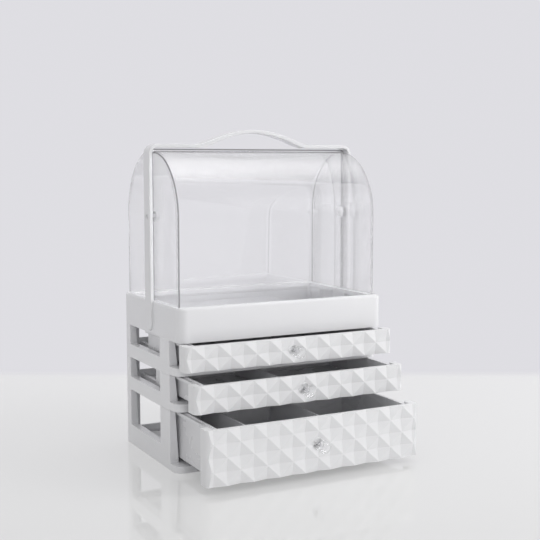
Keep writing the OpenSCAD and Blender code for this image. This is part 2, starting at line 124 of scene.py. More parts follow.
def new_group(
    name: str, inputs: Sequence[tuple[str, str, object]], outputs: Sequence[tuple[str, str]]
) -> tuple[bpy.types.NodeTree, bpy.types.Node, bpy.types.Node]:
    """Makes an empty shader node group with named sockets.

    Args:
        name: The group's name.
        inputs: A name, socket type and default value for each input.
        outputs: A name and socket type for each output.

    Returns:
        The group, its input node and its output node.
    """
    group = bpy.data.node_groups.new(name, "ShaderNodeTree")
    for label, kind, default in inputs:
        socket = group.interface.new_socket(name=label, in_out="INPUT", socket_type=kind)
        socket.default_value = default
    for label, kind in outputs:
        group.interface.new_socket(name=label, in_out="OUTPUT", socket_type=kind)
    return group, add_node(group, "NodeGroupInput"), add_node(group, "NodeGroupOutput")


class NodeGroups:
    """The effects that several finishes share, each built once."""

    def __init__(self) -> None:
        """Builds every group."""
        self.moulded_skin = self._moulded_skin()
        self.handling_marks = self._handling_marks()
        self.brushed_grain = self._brushed_grain()
        self.edge_shade_masks = self._edge_shade_masks()

    @staticmethod
    def _moulded_skin() -> bpy.types.NodeTree:
        """Colour, roughness and height of a moulded plastic skin.

        Returns:
            The group: slow tone drift, soft flow waves and a very fine grain.
        """
        group, entry, leave = new_group(
            "moulded_skin",
            [
                ("Colour", "NodeSocketColor", (0.8, 0.8, 0.8, 1.0)),
                ("Tone Drift", "NodeSocketFloat", 0.02),
                ("Roughness", "NodeSocketFloat", 0.2),
                ("Smudge", "NodeSocketFloat", 0.05),
                ("Grain Scale", "NodeSocketFloat", 900.0),
            ],
            [
                ("Colour", "NodeSocketColor"),
                ("Roughness", "NodeSocketFloat"),
                ("Height", "NodeSocketFloat"),
            ],
        )
        link = group.links.new
        place = add_node(group, "TexCoord")
        drift = add_node(group, "TexNoise", Scale=9.0, Detail=2.0, Roughness=0.45)
        smudge = add_node(group, "TexNoise", Scale=26.0, Detail=4.0, Distortion=0.6)
        waves = add_node(group, "TexNoise", Scale=38.0, Detail=1.0)
        grain = add_node(group, "TexNoise", Detail=2.0)
        for texture in (drift, smudge, waves, grain):
            link(place.outputs["Object"], texture.inputs["Vector"])
        link(entry.outputs["Grain Scale"], grain.inputs["Scale"])

        centred = add_node(group, "Math", operation="SUBTRACT")
        centred.inputs[1].default_value = 0.5
        link(drift.outputs["Fac"], centred.inputs[0])
        swing = add_node(group, "Math", operation="MULTIPLY_ADD")
        swing.inputs[2].default_value = 1.0
        link(centred.outputs[0], swing.inputs[0])
        link(entry.outputs["Tone Drift"], swing.inputs[1])
        tint = add_node(group, "VectorMath", operation="SCALE")
        link(entry.outputs["Colour"], tint.inputs[0])
        link(swing.outputs[0], tint.inputs["Scale"])
        link(tint.outputs[0], leave.inputs["Colour"])

        patch = add_node(group, "MapRange", From_Min=0.42, From_Max=0.68)
        link(smudge.outputs["Fac"], patch.inputs["Value"])
        rough = add_node(group, "Math", operation="MULTIPLY_ADD")
        link(patch.outputs[0], rough.inputs[0])
        link(entry.outputs["Smudge"], rough.inputs[1])
        link(entry.outputs["Roughness"], rough.inputs[2])
        link(rough.outputs[0], leave.inputs["Roughness"])

        height = add_node(group, "Math", operation="MULTIPLY_ADD")
        height.inputs[1].default_value = 0.06
        link(grain.outputs["Fac"], height.inputs[0])
        link(waves.outputs["Fac"], height.inputs[2])
        link(height.outputs[0], leave.inputs["Height"])
        return group

    @staticmethod
    def _handling_marks() -> bpy.types.NodeTree:
        """Roughness and height of a polished clear part that has been handled.

        Returns:
            The group: faint wipe streaks in the gloss and soft waves in the surface.
        """
        group, entry, leave = new_group(
            "handling_marks",
            [
                ("Roughness", "NodeSocketFloat", 0.02),
                ("Streaks", "NodeSocketFloat", 0.03),
                ("Wave Scale", "NodeSocketFloat", 14.0),
            ],
            [("Roughness", "NodeSocketFloat"), ("Height", "NodeSocketFloat")],
        )
        link = group.links.new
        place = add_node(group, "TexCoord")
        stretch = add_node(group, "Mapping", Scale=(1.0, 1.0, 0.18))
        streaks = add_node(group, "TexNoise", Scale=120.0, Detail=5.0, Distortion=0.4)
        waves = add_node(group, "TexNoise", Detail=1.0)
        link(place.outputs["Object"], stretch.inputs["Vector"])
        link(stretch.outputs[0], streaks.inputs["Vector"])
        link(place.outputs["Object"], waves.inputs["Vector"])
        link(entry.outputs["Wave Scale"], waves.inputs["Scale"])
        mask = add_node(group, "MapRange", From_Min=0.56, From_Max=0.8)
        link(streaks.outputs["Fac"], mask.inputs["Value"])
        rough = add_node(group, "Math", operation="MULTIPLY_ADD")
        link(mask.outputs[0], rough.inputs[0])
        link(entry.outputs["Streaks"], rough.inputs[1])
        link(entry.outputs["Roughness"], rough.inputs[2])
        link(rough.outputs[0], leave.inputs["Roughness"])
        link(waves.outputs["Fac"], leave.inputs["Height"])
        return group

    @staticmethod
    def _brushed_grain() -> bpy.types.NodeTree:
        """Colour, roughness and height of zinc plating on a turned screw.

        Returns:
            The group: fine turning lines and cloudy plating.
        """
        group, entry, leave = new_group(
            "brushed_grain",
            [
                ("Colour", "NodeSocketColor", (0.7, 0.7, 0.7, 1.0)),
                ("Roughness", "NodeSocketFloat", 0.3),
            ],
            [
                ("Colour", "NodeSocketColor"),
                ("Roughness", "NodeSocketFloat"),
                ("Height", "NodeSocketFloat"),
            ],
        )
        link = group.links.new
        place = add_node(group, "TexCoord")
        lines = add_node(group, "TexNoise", Scale=2400.0, Detail=2.0)
        cloud = add_node(group, "TexNoise", Scale=260.0, Detail=3.0)
        for texture in (lines, cloud):
            link(place.outputs["Object"], texture.inputs["Vector"])
        tone = add_node(group, "MapRange", To_Min=0.82, To_Max=1.08)
        link(cloud.outputs["Fac"], tone.inputs["Value"])
        tint = add_node(group, "VectorMath", operation="SCALE")
        link(entry.outputs["Colour"], tint.inputs[0])
        link(tone.outputs[0], tint.inputs["Scale"])
        rough = add_node(group, "Math", operation="MULTIPLY_ADD")
        rough.inputs[1].default_value = 0.16
        link(cloud.outputs["Fac"], rough.inputs[0])
        link(entry.outputs["Roughness"], rough.inputs[2])
        link(tint.outputs[0], leave.inputs["Colour"])
        link(rough.outputs[0], leave.inputs["Roughness"])
        link(lines.outputs["Fac"], leave.inputs["Height"])
        return group

    @staticmethod
    def _edge_shade_masks() -> bpy.types.NodeTree:
        """Masks of a cover's narrow cut faces and of its rounded corners, which show where the
        clear plastic gets painted shade.

        Returns:
            The group: Cut is 1 where a face looks along Y and lies close to the middle plane,
            and Corner is 1 where the wall bends from a side into the front, back or top.
        """
        group, entry, leave = new_group(
            "edge_shade_masks",
            [("Reach", "NodeSocketFloat", 0.0006), ("Corner Start", "NodeSocketFloat", 0.86)],
            [("Cut", "NodeSocketFloat"), ("Corner", "NodeSocketFloat")],
        )
        link = group.links.new
        place = add_node(group, "TexCoord")
        facing_least = 0.6
        factors = []
        for source, operation, limit in (
            (place.outputs["Object"], "LESS_THAN", entry.outputs["Reach"]),
            (place.outputs["Normal"], "GREATER_THAN", None),
        ):
            parts = add_node(group, "SeparateXYZ")
            size = add_node(group, "Math", operation="ABSOLUTE")
            test = add_node(group, "Math", operation=operation)
            test.inputs[1].default_value = facing_least
            link(source, parts.inputs[0])
            link(parts.outputs["Y"], size.inputs[0])
            link(size.outputs[0], test.inputs[0])
            if limit:
                link(limit, test.inputs[1])
            factors.append(test)
        both = add_node(group, "Math", operation="MULTIPLY")
        link(factors[0].outputs[0], both.inputs[0])
        link(factors[1].outputs[0], both.inputs[1])
        link(both.outputs[0], leave.inputs["Cut"])

        aside = add_node(group, "SeparateXYZ")
        turn = add_node(group, "Math", operation="ARCCOSINE")
        double = add_node(group, "Math", operation="MULTIPLY")
        double.inputs[1].default_value = 2.0
        bend = add_node(group, "Math", operation="SINE")
        size = add_node(group, "Math", operation="ABSOLUTE")
        corner = add_node(group, "MapRange", interpolation_type="SMOOTHSTEP")
        link(place.outputs["Normal"], aside.inputs[0])
        link(aside.outputs["X"], turn.inputs[0])
        link(turn.outputs[0], double.inputs[0])
        link(double.outputs[0], bend.inputs[0])
        link(bend.outputs[0], size.inputs[0])
        link(size.outputs[0], corner.inputs["Value"])
        link(entry.outputs["Corner Start"], corner.inputs["From Min"])
        link(corner.outputs[0], leave.inputs["Corner"])
        return group


class Finish(Protocol):
    """Anything that can make a material."""

    name: str

    def material(self, groups: NodeGroups) -> bpy.types.Material:
        """Makes the material."""
        ...


def blank_material(name: str) -> tuple[bpy.types.Material, bpy.types.Node, bpy.types.Node]:
    """Makes a material that holds only its shader.

    Args:
        name: The material's name.

    Returns:
        The material, its Principled shader and its output node.
    """
    material = bpy.data.materials.new(name)
    material.use_nodes = True
    tree = material.node_tree
    tree.nodes.clear()
    shader = add_node(tree, "BsdfPrincipled")
    output = add_node(tree, "OutputMaterial")
    tree.links.new(shader.outputs["BSDF"], output.inputs["Surface"])
    return material, shader, output


def link_bump(
    tree: bpy.types.NodeTree, height: bpy.types.NodeSocket, shader: bpy.types.Node,
    strength: float, distance: float,
) -> None:
    """Feeds a height into a shader's normal.

    Args:
        tree: The material's node tree.
        height: The socket that gives the height.
        shader: The shader to bump.
        strength: The bump's strength.
        distance: The height that a value of 1 stands for.
    """
    bump = add_node(tree, "Bump", Strength=strength, Distance=distance)
    tree.links.new(height, bump.inputs["Height"])
    tree.links.new(bump.outputs["Normal"], shader.inputs["Normal"])


@dataclass(frozen=True)
class MouldedPlastic:
    """Opaque injection-moulded plastic, with slow tone drift and smudges in its gloss."""

    name: str
    colour: tuple[float, float, float]
    roughness: float = 0.22
    smudge: float = 0.05
    tone_drift: float = 0.03
    grain_scale: float = 900.0
    bump: float = 0.25
    bump_distance: float = 0.0002
    coat: float = 0.35
    coat_roughness: float = 0.06

    def material(self, groups: NodeGroups) -> bpy.types.Material:
        """Makes the material.

        Args:
            groups: The shared node groups.

        Returns:
            The finished material.
        """
        material, shader, _ = blank_material(self.name)
        tree = material.node_tree
        shader.inputs["Coat Weight"].default_value = self.coat
        shader.inputs["Coat Roughness"].default_value = self.coat_roughness
        skin = add_node(tree, "Group", node_tree=groups.moulded_skin)
        skin.inputs["Colour"].default_value = (*self.colour, 1.0)
        skin.inputs["Tone Drift"].default_value = self.tone_drift
        skin.inputs["Roughness"].default_value = self.roughness
        skin.inputs["Smudge"].default_value = self.smudge
        skin.inputs["Grain Scale"].default_value = self.grain_scale
        tree.links.new(skin.outputs["Colour"], shader.inputs["Base Color"])
        tree.links.new(skin.outputs["Roughness"], shader.inputs["Roughness"])
        link_bump(tree, skin.outputs["Height"], shader, self.bump, self.bump_distance)
        return material


@dataclass(frozen=True)
class ClearPlastic:
    """Polished clear plastic that lets light through to what it covers.

    Part of what meets it, see_through, passes straight on, darkened by shade. Cut faces are painted
    in the near-black edge tone, a painted shade that stands in for the dark lines refraction gives
    at a cut edge, and rounded corners take the corner share of that painted shade.
    """

    name: str
    colour: tuple[float, float, float]
    roughness: float = 0.01
    streaks: float = 0.03
    wave_scale: float = 14.0
    ior: float = 1.49
    bump: float = 0.04
    bump_distance: float = 0.002
    shade: float = 0.1
    see_through: float = 0.3
    edge_shade_tone: float = 1.0
    corner_shade_share: float = 0.6

    def material(self, groups: NodeGroups) -> bpy.types.Material:
        """Makes the material.

        Args:
            groups: The shared node groups.

        Returns:
            The finished material, which casts only a faint shadow.
        """
        material, shader, output = blank_material(self.name)
        tree = material.node_tree
        link = tree.links.new
        shader.inputs["Base Color"].default_value = (*self.colour, 1.0)
        shader.inputs["Transmission Weight"].default_value = 1.0
        shader.inputs["IOR"].default_value = self.ior
        marks = add_node(tree, "Group", node_tree=groups.handling_marks)
        marks.inputs["Roughness"].default_value = self.roughness
        marks.inputs["Streaks"].default_value = self.streaks
        marks.inputs["Wave Scale"].default_value = self.wave_scale
        link(marks.outputs["Roughness"], shader.inputs["Roughness"])
        link_bump(tree, marks.outputs["Height"], shader, self.bump, self.bump_distance)
        light = add_node(tree, "LightPath")
        through = add_node(tree, "BsdfTransparent")
        tone = 1.0 - self.shade
        through.inputs["Color"].default_value = (tone, tone, tone, 1.0)
        clear = add_node(tree, "Math", operation="MAXIMUM")
        clear.inputs[1].default_value = self.see_through
        mix = add_node(tree, "MixShader")
        link(light.outputs["Is Shadow Ray"], clear.inputs[0])
        link(clear.outputs[0], mix.inputs["Fac"])
        link(shader.outputs["BSDF"], mix.inputs[1])
        link(through.outputs["BSDF"], mix.inputs[2])
        link(mix.outputs[0], output.inputs["Surface"])
        # Painted shade: cut faces and rounded corners are darkened, and cut faces made opaque, to
        # stand in for the dark lines that refraction gives there.
        if self.edge_shade_tone < 1.0:
            self._paint_edge_shade(tree, groups, clear, (shader.inputs[0], through.inputs[0]))
        return material

    def _paint_edge_shade(
        self, tree: bpy.types.NodeTree, groups: NodeGroups, clear: bpy.types.Node,
        colours: Iterable[bpy.types.NodeSocket],
    ) -> None:
        """Paints shade on the cut faces and the rounded corners: a darker tone, and no see-through
        on the cut faces, standing in for the dark lines that refraction gives there.

        Args:
            tree: The material's node tree.
            groups: The shared node groups.
            clear: The node that sets how much passes straight through.
            colours: The shaders' colours that take the painted shade.
        """
        link = tree.links.new
        edge = add_node(tree, "Group", node_tree=groups.edge_shade_masks)
        corner = add_node(tree, "Math", operation="MULTIPLY")
        corner.inputs[1].default_value = self.corner_shade_share
        depth = add_node(tree, "Math", operation="MAXIMUM")
        link(edge.outputs["Corner"], corner.inputs[0])
        link(corner.outputs[0], depth.inputs[0])
        link(edge.outputs["Cut"], depth.inputs[1])
        tint = add_node(tree, "Mix", data_type="RGBA")
        tint.inputs["A"].default_value = (*self.colour, 1.0)
        tint.inputs["B"].default_value = (*(part * self.edge_shade_tone for part in self.colour), 1.0)
        through = add_node(
            tree, "MapRange", From_Min=0.0, From_Max=1.0, To_Min=self.see_through, To_Max=0.0
        )
        link(depth.outputs[0], tint.inputs["Factor"])
        for colour in colours:
            link(tint.outputs["Result"], colour)
        link(edge.outputs["Cut"], through.inputs["Value"])
        link(through.outputs[0], clear.inputs[1])


@dataclass(frozen=True)
class PlatedSteel:
    """Zinc-plated steel of small screws."""

    name: str
    colour: tuple[float, float, float]
    roughness: float = 0.28
    bump: float = 0.2
    bump_distance: float = 0.00005

    def material(self, groups: NodeGroups) -> bpy.types.Material:
        """Makes the material.

        Args:
            groups: The shared node groups.

        Returns:
            The finished material.
        """
        material, shader, _ = blank_material(self.name)
        tree = material.node_tree
        shader.inputs["Metallic"].default_value = 1.0
        grain = add_node(tree, "Group", node_tree=groups.brushed_grain)
        grain.inputs["Colour"].default_value = (*self.colour, 1.0)
        grain.inputs["Roughness"].default_value = self.roughness
        tree.links.new(grain.outputs["Colour"], shader.inputs["Base Color"])
        tree.links.new(grain.outputs["Roughness"], shader.inputs["Roughness"])
        link_bump(tree, grain.outputs["Height"], shader, self.bump, self.bump_distance)
        return material


class Palette:
    """Every finish of the organizer, as made materials."""

    def __init__(self) -> None:
        """Makes the node groups and one material for each slot."""
        groups = NodeGroups()
        finishes: dict[Slot, Finish] = {
            Slot.SHELL: MouldedPlastic("white_shell_gloss", (0.80, 0.80, 0.815)),
            Slot.DRAWER: MouldedPlastic(
                "white_drawer_gloss", (0.76, 0.76, 0.775), roughness=0.26, smudge=0.07
            ),
            Slot.FRONT: MouldedPlastic(
                "white_front_gloss", (0.80, 0.80, 0.81), roughness=0.32, smudge=0.04, coat=0.12
            ),
            # The cover's cut faces and rounded corners get a near-black painted shade.
            Slot.COVER: ClearPlastic(
                "clear_cover_polish", (1.0, 1.0, 1.0), shade=0.0, see_through=0.6, edge_shade_tone=0.15
            ),
            Slot.KNOB: ClearPlastic(
                "clear_knob_cut", (0.97, 0.98, 0.99), roughness=0.0, streaks=0.01,
                wave_scale=90.0, bump=0.01, shade=0.0, see_through=0.8,
            ),
            Slot.DIVIDER: MouldedPlastic(
                "divider_gloss", (0.68, 0.68, 0.70), roughness=0.3, smudge=0.08
            ),
            Slot.SCREW: PlatedSteel("screw_plating", (0.72, 0.72, 0.74)),
        }
        self.materials = {slot: finish.material(groups) for slot, finish in finishes.items()}

    def __getitem__(self, slot: Slot) -> bpy.types.Material:
        """The material of a slot."""
        return self.materials[slot]


# ---------- mesh helpers ----------


def object_from(shell: bmesh.types.BMesh, name: str) -> bpy.types.Object:
    """Turns a bmesh into a linked object and frees it.

    Args:
        shell: The finished bmesh.
        name: The new object's name.

    Returns:
        The object, at the origin.
    """
    mesh = bpy.data.meshes.new(name)
    shell.to_mesh(mesh)
    shell.free()
    piece = bpy.data.objects.new(name, mesh)
    bpy.context.scene.collection.objects.link(piece)
    return piece


def shade(piece: bpy.types.Object, sharp_above: float = 40) -> None:
    """Shades a piece smooth, with its steeper edges kept sharp.

    Args:
        piece: The piece to shade.
        sharp_above: The angle in degrees from which an edge stays sharp.
    """
    piece.data.shade_smooth()
    piece.data.set_sharp_from_angle(angle=math.radians(sharp_above))


def soften(piece: bpy.types.Object, width: float, segments: int = 2, angle: float = 40) -> None:
    """Rounds the sharp edges of a piece with a bevel that keeps its flats flat.

    Args:
        piece: The piece to round.
        width: The bevel's width.
        segments: The steps in the bevel.
        angle: The edge angle in degrees from which an edge is rounded.
    """
    bevel = piece.modifiers.new("rounded_edges", "BEVEL")
    bevel.width = width
    bevel.segments = segments
    bevel.limit_method = "ANGLE"
    bevel.angle_limit = math.radians(angle)
    bevel.miter_outer = "MITER_ARC"
    bevel.harden_normals = True
    bevel.use_clamp_overlap = True


def merged_copy(node: str, name: str) -> bpy.types.Object:
    """Copies a CAD node, joins its loose triangles and clears its flat faces.

    Args:
        node: The node's name.
        name: The new piece's name.

    Returns:
        The copy, as one closed mesh with whole flat faces.
    """
    shell = bmesh.new()
    shell.from_mesh(bpy.data.objects[node].data)
    bmesh.ops.remove_doubles(shell, verts=shell.verts, dist=MERGE_DISTANCE)
    bmesh.ops.dissolve_limit(
        shell, angle_limit=math.radians(FLAT_WITHIN_DEGREES), verts=shell.verts, edges=shell.edges
    )
    bmesh.ops.connect_verts_concave(shell, faces=shell.faces)
    piece = object_from(shell, name)
    for attribute in [a.name for a in piece.data.attributes if a.name == "custom_normal"]:
        piece.data.attributes.remove(piece.data.attributes[attribute])
    return piece


def turned(
    profile: Iterable[tuple[float, float]], steps: int, base: Vector, axis: Axis
) -> bmesh.types.BMesh:
    """Spins a profile of (distance along, radius) points into a closed turned shape.

    Args:
        profile: The points from one end of the axis to the other, both ends at radius 0.
        steps: The number of steps round the axis.
        base: Where the profile's start lies.
        axis: The direction that the profile runs along.

    Returns:
        The turned shape in its place.
    """
    shell = bmesh.new()
    corners = [shell.verts.new((radius, 0, along)) for along, radius in profile]
    edges = [shell.edges.new(pair) for pair in zip(corners, corners[1:])]
    bmesh.ops.spin(
        shell, geom=corners + edges, cent=(0, 0, 0), axis=(0, 0, 1), dvec=(0, 0, 0),
        angle=math.tau, steps=steps, use_merge=True, use_duplicate=False,
    )
    bmesh.ops.remove_doubles(shell, verts=shell.verts, dist=MERGE_DISTANCE)
    bmesh.ops.recalc_face_normals(shell, faces=shell.faces)
    turn = Vector((0, 0, 1)).rotation_difference(axis.value).to_matrix().to_4x4()
    bmesh.ops.transform(shell, matrix=Matrix.Translation(base) @ turn, verts=shell.verts)
    return shell


class Dresser:
    """Puts a finished piece on its body, in its finish, in place of its nodes."""

    def __init__(self, palette: Palette) -> None:
        """Keeps the palette.

        Args:
            palette: The made materials.
        """
        self.palette = palette

    def dress(self, piece: bpy.types.Object, body: Body, slot: Slot, *nodes: str) -> None:
        """Gives a piece its material, body, slot and the nodes it stands for.

        Args:
            piece: The finished piece.
            body: The body it rides on.
            slot: The slot of its finish.
            *nodes: The CAD nodes that it replaces.
        """
        piece.data.materials.clear()
        piece.data.materials.append(self.palette[slot])
        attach(piece, body.value)
        if nodes:
            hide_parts(*nodes)
        LOG.info("%s on %s in %s", piece.name, body.value, slot.value)


# ---------- sub-assemblies ----------


@dataclass
class Stand:
    """The stacked tiers and the top tray."""

    edge: float = 0.0006
    tray_edge: float = 0.0009

    def build(self, dresser: Dresser) -> None:
        """Builds and dresses the stand.

        Args:
            dresser: What puts the pieces in place.
        """
        for node in ("base_tier", "middle_tier", "upper_tier"):
            tier = merged_copy(node, f"{node}_moulding")
            soften(tier, self.edge)
            shade(tier)
            dresser.dress(tier, Body.STAND, Slot.SHELL, node)
        tray = merged_copy("top_tray", "top_tray_moulding")
        soften(tray, self.tray_edge)
        shade(tray)
        dresser.dress(tray, Body.STAND, Slot.SHELL, "top_tray")


@dataclass
class Handle:
    """The arch over the covers, with its pins and screws."""

    edge: float = 0.0009
    head_radius: float = 0.007
    head_height: float = 0.006
    head_rim: float = 0.0006
    pin_radius: float = 0.0025
    pin_tip_edge: float = 0.0003
    steps: int = 40
    dome_steps: int = 8

    def build(self, dresser: Dresser) -> None:
        """Builds and dresses the handle.

        Args:
            dresser: What puts the pieces in place.
        """
        arch = merged_copy("handle_arch", "handle_arch_moulding")
        soften(arch, self.edge, segments=3)
        shade(arch)
        dresser.dress(arch, Body.STAND, Slot.SHELL, "handle_arch")
        for node, axis in (("left_pivot_pin", Axis.RIGHT), ("right_pivot_pin", Axis.LEFT)):
            dresser.dress(self._pin(node, axis), Body.STAND, Slot.SHELL, node)
        screws = merged_copy("handle_screws", "handle_screws_turned")
        shade(screws)
        dresser.dress(screws, Body.STAND, Slot.SCREW, "handle_screws")

    def _pin(self, node: str, axis: Axis) -> bpy.types.Object:
        """A pivot pin with its domed button.

        Args:
            node: The node that it stands for.
            axis: The direction from its shaft to the top of its button.

        Returns:
            The pin.
        """
        lo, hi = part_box(node)
        shaft = hi.x - lo.x - self.head_height
        rim, tip = self.head_rim, self.pin_tip_edge
        profile = [
            (-shaft, 0.0), (-shaft, self.pin_radius - tip), (-shaft + tip, self.pin_radius),
            (0.0, self.pin_radius), (0.0, self.head_radius - rim / 2),
            (rim / 2, self.head_radius), (rim, self.head_radius),
        ]
        for step in range(1, self.dome_steps + 1):
            angle = math.pi / 2 * step / self.dome_steps
            rise = rim + (self.head_height - rim) * math.sin(angle)
            profile.append((rise, self.head_radius * max(math.cos(angle), 0.0)))
        far_end = hi.x if axis is Axis.LEFT else lo.x
        base = Vector((far_end, 0, PIVOT_HEIGHT)) + axis.value * shaft
        pin = object_from(turned(profile, self.steps, base, axis), f"{node}_button")
        shade(pin)
        return pin


@dataclass
class Cover:
    """One clear cover: a quarter drum over an upright skirt, with an ear at each pivot.

    The wall is an outer and an inner skin with the same layout, bridged round their rims
    and their pin holes.
    """

    name: str
    body: Body
    opens_back: bool
    radius: float = field(init=False)
    half_width: float = field(init=False)
    skirt: float = field(init=False)
    wall: float = 0.002
    edge_radius: float = 0.005
    ear_radius: float = 0.008
    hole_radius: float = 0.00255
    flat_margin: float = 0.0004
    drum_steps: int = 48
    edge_steps: int = 6
    ring_steps: int = 12
    lip: float = 0.0003
    lip_angle: float = 60
    sharp_above: float = 50

    def build(self, dresser: Dresser) -> None:
        """Builds and dresses the cover.

        Args:
            dresser: What puts the piece in place.
        """
        lo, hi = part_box(self.name)
        self.radius = hi.z - PIVOT_HEIGHT
        self.half_width = hi.x
        self.skirt = PIVOT_HEIGHT - lo.z
        shell = bmesh.new()
        for loops in zip(self._skin(shell, 0.0), self._skin(shell, self.wall)):
            bmesh.ops.bridge_loops(shell, edges=[edge for loop in loops for edge in loop])
        if self.opens_back:
            bmesh.ops.scale(shell, vec=(1, -1, 1), verts=shell.verts)
        bmesh.ops.recalc_face_normals(shell, faces=shell.faces)
        bmesh.ops.translate(shell, vec=(0, 0, PIVOT_HEIGHT), verts=shell.verts)
        cover = object_from(shell, f"{self.name}_shell")
        soften(cover, self.lip, angle=self.lip_angle)
        shade(cover, self.sharp_above)
        dresser.dress(cover, self.body, Slot.COVER, self.name)

    def _skin(self, shell: bmesh.types.BMesh, inset: float) -> list[list[bmesh.types.BMEdge]]:
        """Adds one skin of the cover about the pivot, reaching forwards.

        The section at the pivot's height is spun up over the pivot line for the drum and
        extruded down for the skirt, and then each side is closed.

        Args:
            shell: The bmesh to add to.
            inset: How far the skin lies inside the outer one.

        Returns:
            The skin's open loops: its left pin hole, its right one, and its rim.
        """
        before = set(shell.verts)
        path = self._path(shell, inset)
        section = [shell.edges.new(pair) for pair in zip(path, path[1:])]
        bmesh.ops.spin(
            shell, geom=path + section, cent=(0, 0, 0), axis=(1, 0, 0), dvec=(0, 0, 0),
            angle=-math.pi / 2, steps=self.drum_steps, use_merge=False, use_duplicate=False,
        )
        skirt = bmesh.ops.extrude_edge_only(shell, edges=section)["geom"]
        foot = [part for part in skirt if isinstance(part, bmesh.types.BMVert)]
        bmesh.ops.translate(shell, vec=(0, 0, -self.skirt), verts=foot)
        skin = [corner for corner in shell.verts if corner not in before]
        loops = [self._side(shell, skin, end) for end in (path[0].co, path[-1].co)]
        taken = before.union(corner for loop in loops for edge in loop for corner in edge.verts)
        loops.append([
            edge for edge in shell.edges if edge.is_boundary and taken.isdisjoint(edge.verts)
        ])
        return loops

    def _path(self, shell: bmesh.types.BMesh, inset: float) -> list[bmesh.types.BMVert]:
        """The section of a skin at the pivot's height, from the left side to the right.

        Args:
            shell: The bmesh to add to.
            inset: How far the skin lies inside the outer one.

        Returns:
            The section's vertices.
        """
        bend = self.edge_radius - inset
        flat = self.radius - self.edge_radius
        side = self.half_width - self.edge_radius
        places = [(side + bend, flat - self.flat_margin)]
        for step in range(self.edge_steps + 1):
            angle = math.pi / 2 * step / self.edge_steps
            places.append((side + bend * math.cos(angle), flat + bend * math.sin(angle)))
        places.append((side - self.flat_margin, flat + bend))
        left = [(-x, -y, 0) for x, y in places]
        right = [(x, -y, 0) for x, y in reversed(places)]
        return [shell.verts.new(place) for place in left + right]

    def _side(
        self, shell: bmesh.types.BMesh, skin: list[bmesh.types.BMVert], end: Vector
    ) -> list[bmesh.types.BMEdge]:
        """Closes one flat side with its ear and pin hole.

        Args:
            shell: The bmesh to add to.
            skin: The skin's vertices so far.
            end: The section's end on this side.

        Returns:
            The open edges of the pin hole.
        """
        upright = Matrix(((0, 0, 1, end.x), (1, 0, 0, 0), (0, 1, 0, 0), (0, 0, 0, 1)))
        ear, hole = (
            bmesh.ops.create_circle(
                shell, segments=2 * self.ring_steps, radius=radius, matrix=upright
            )["verts"]
            for radius in (self.ear_radius, self.hole_radius)
        )
        outline, opening = (
            [edge for edge in shell.edges if all(corner in ring for corner in edge.verts)]
            for ring in (ear, hole)
        )
        bmesh.ops.bridge_loops(shell, edges=outline + opening)
        side_rim = [
            corner for corner in skin
            if abs(corner.co.x - end.x) < MERGE_DISTANCE
            and abs(self._reach(corner.co) - self._reach(end)) < MERGE_DISTANCE
        ]
        foot = shell.verts.new((end.x, 0, -self.skirt))
        front_of_ear = [corner for corner in ear if corner.co.y < MERGE_DISTANCE]
        shell.faces.new([
            *sorted(side_rim, key=lambda corner: -corner.co.z), foot,
            *sorted(front_of_ear, key=lambda corner: corner.co.z),
        ])
        return opening

    @staticmethod
    def _reach(place: Vector) -> float:
        """How far a place lies from the pivot line, or from its plane below the pivot."""
        return place.yz.length if place.z > 0 else -place.y


@dataclass
class Knob:
    """A clear knob with a round foot and a cut head.

    The waist and the crown are given as (part of the length, part of the foot's or the head's
    radius), the girdle as the parts of the length between which the head is widest.
    """

    radius: float = 0.008
    foot_radius: float = 0.0065
    foot_length: float = 0.0024
    foot_edge: float = 0.0004
    foot_top: float = 0.66
    waist: tuple[float, float] = (0.32, 0.62)
    girdle: tuple[float, float] = (0.65, 0.71)
    crown: tuple[float, float] = (0.84, 0.92)
    table: float = 0.62
    facets: int = 10
    steps_per_facet: int = 4
    screw_depth: float = 0.0072
    screw_radius: float = 0.00195

    def build(self, dresser: Dresser, prefix: str, body: Body) -> None:
        """Builds and dresses the knob of one drawer.

        Args:
            dresser: What puts the piece in place.
            prefix: The drawer's name.
            body: The drawer's body.
        """
        node = f"{prefix}_knob"
        lo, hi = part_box(node)
        base = Vector((0, hi.y, (lo.z + hi.z) / 2))
        profile = self._profile(hi.y - lo.y)
        shell = turned(profile, self.facets * self.steps_per_facet, base, Axis.FRONT)
        self._cut(shell, base)
        knob = object_from(shell, f"{node}_cut")
        knob.data.shade_flat()
        dresser.dress(knob, body, Slot.KNOB, node)

    def _profile(self, length: float) -> list[tuple[float, float]]:
        """The knob's outline, from the bottom of its screw hole to the middle of its table.

        Args:
            length: The knob's length.

        Returns:
            Points of (distance along, radius).
        """
        foot, edge, head = self.foot_radius, self.foot_edge, self.radius
        return [
            (self.screw_depth, 0.0), (self.screw_depth, self.screw_radius),
            (0.0, self.screw_radius), (0.0, foot - edge), (edge, foot),
            (self.foot_length - edge, foot), (self.foot_length, foot - edge),
            (self.foot_length, self.foot_top * foot),
            (self.waist[0] * length, self.waist[1] * foot),
            (self.girdle[0] * length, head), (self.girdle[1] * length, head),
            (self.crown[0] * length, self.crown[1] * head),
            (length, self.table * head), (length, 0.0),
        ]

    def _cut(self, shell: bmesh.types.BMesh, base: Vector) -> None:
        """Flattens the round head into facets.

        Args:
            shell: The turned knob, pointing forwards.
            base: The middle of its foot.
        """
        facet = math.tau / self.facets
        for corner in shell.verts:
            if base.y - corner.co.y < self.foot_length + MERGE_DISTANCE:
                continue
            across = Vector((corner.co.x - base.x, corner.co.z - base.z))
            if across.length < self.screw_radius + MERGE_DISTANCE:
                continue
            turn = math.atan2(across.y, across.x) % facet - facet / 2
            flat = across * (math.cos(facet / 2) / math.cos(turn))
            corner.co.x, corner.co.z = base.x + flat.x, base.z + flat.y


